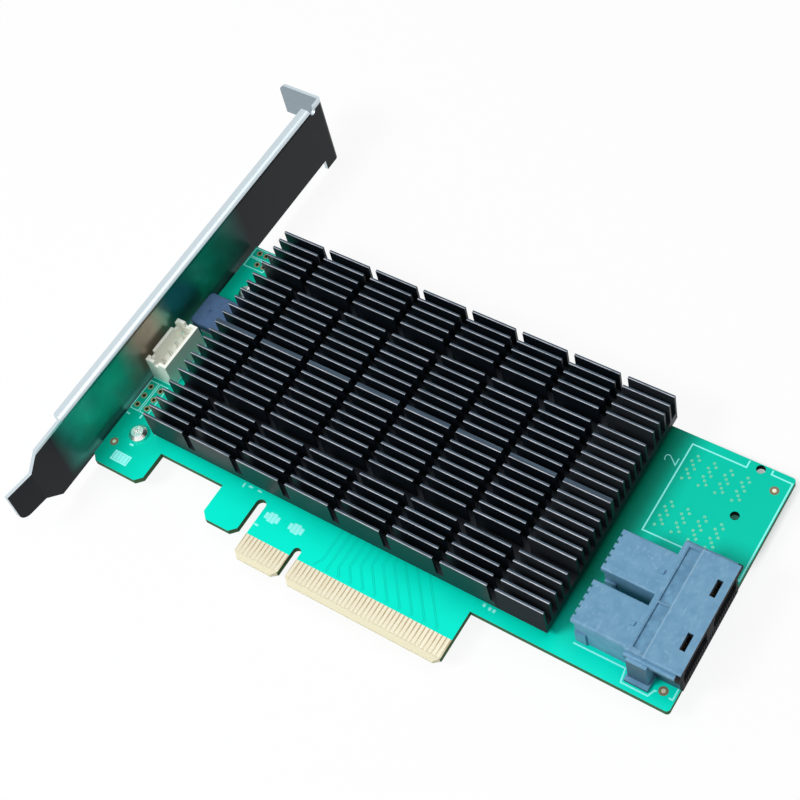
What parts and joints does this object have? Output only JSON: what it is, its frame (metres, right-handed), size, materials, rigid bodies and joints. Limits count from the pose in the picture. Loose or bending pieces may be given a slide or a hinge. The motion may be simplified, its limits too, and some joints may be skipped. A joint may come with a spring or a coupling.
{
  "type": "storage controller card",
  "caption": "Low-profile plug-in storage controller board on a full-height steel bracket, with a cross-cut black heat sink, edge contacts and a right-angle cable port block.",
  "frame": {"origin": "on the card edge's tip, on the centre line of its key notch, at half the board's thickness", "axes": "+X along the board away from the bracket, +Y from the card edge towards the bracket's screw tab, +Z out of the component side"},
  "size_m": [0.1525, 0.12, 0.0216],
  "materials": {
    "solder_mask_green": "satin green solder mask over glass fibre laminate",
    "contact_gold": "hard gold plating, satin",
    "bracket_steel": "nickel-plated sheet steel, satin mirror",
    "screw_steel": "bright plated steel",
    "heat_sink_black": "black anodised, satin",
    "spacer_brass": "nickel-washed brass, satin",
    "chip_laminate": "dark green laminate",
    "lid_metal": "nickel-plated copper, satin",
    "thermal_pad_grey": "soft matt gap pad",
    "chip_black": "moulded black resin, matt",
    "oscillator_metal": "plated metal can",
    "capacitor_ceramic": "fired tan ceramic, matt",
    "resistor_black": "black glaze over ceramic",
    "header_ivory": "moulded ivory nylon, semi-gloss",
    "pin_tin": "tin plating, satin",
    "inductor_grey": "pressed iron powder in dark blue-grey resin",
    "connector_blue_grey": "moulded blue-grey glass-filled plastic, satin"
  },
  "bodies": {
    "root": {"circuit_board": "solder_mask_green", "edge_contacts_front": "contact_gold", "edge_contacts_back": "contact_gold", "bracket": "bracket_steel", "bracket_screws": "screw_steel", "heat_sink": "heat_sink_black", "heat_sink_spacers": "spacer_brass", "heat_sink_screws": "screw_steel", "controller_substrate": "chip_laminate", "controller_lid": "lid_metal", "thermal_pad": "thermal_pad_grey", "memory_chips": "chip_black", "flash_chip": "chip_black", "clock_oscillator": "oscillator_metal", "voltage_regulators": "chip_black", "coupling_capacitors": "capacitor_ceramic", "decoupling_capacitors": "capacitor_ceramic", "resistors": "resistor_black", "fan_header_housing": "header_ivory", "fan_header_pins": "pin_tin", "power_inductor": "inductor_grey", "inductor_terminals": "pin_tin", "port_housing": "connector_blue_grey", "port_wafer_block_1": "connector_blue_grey", "port_wafer_block_2": "connector_blue_grey", "port_contacts": "contact_gold", "port_pegs": "connector_blue_grey", "port_solder_tails": "pin_tin"}
  },
  "joints": []
}
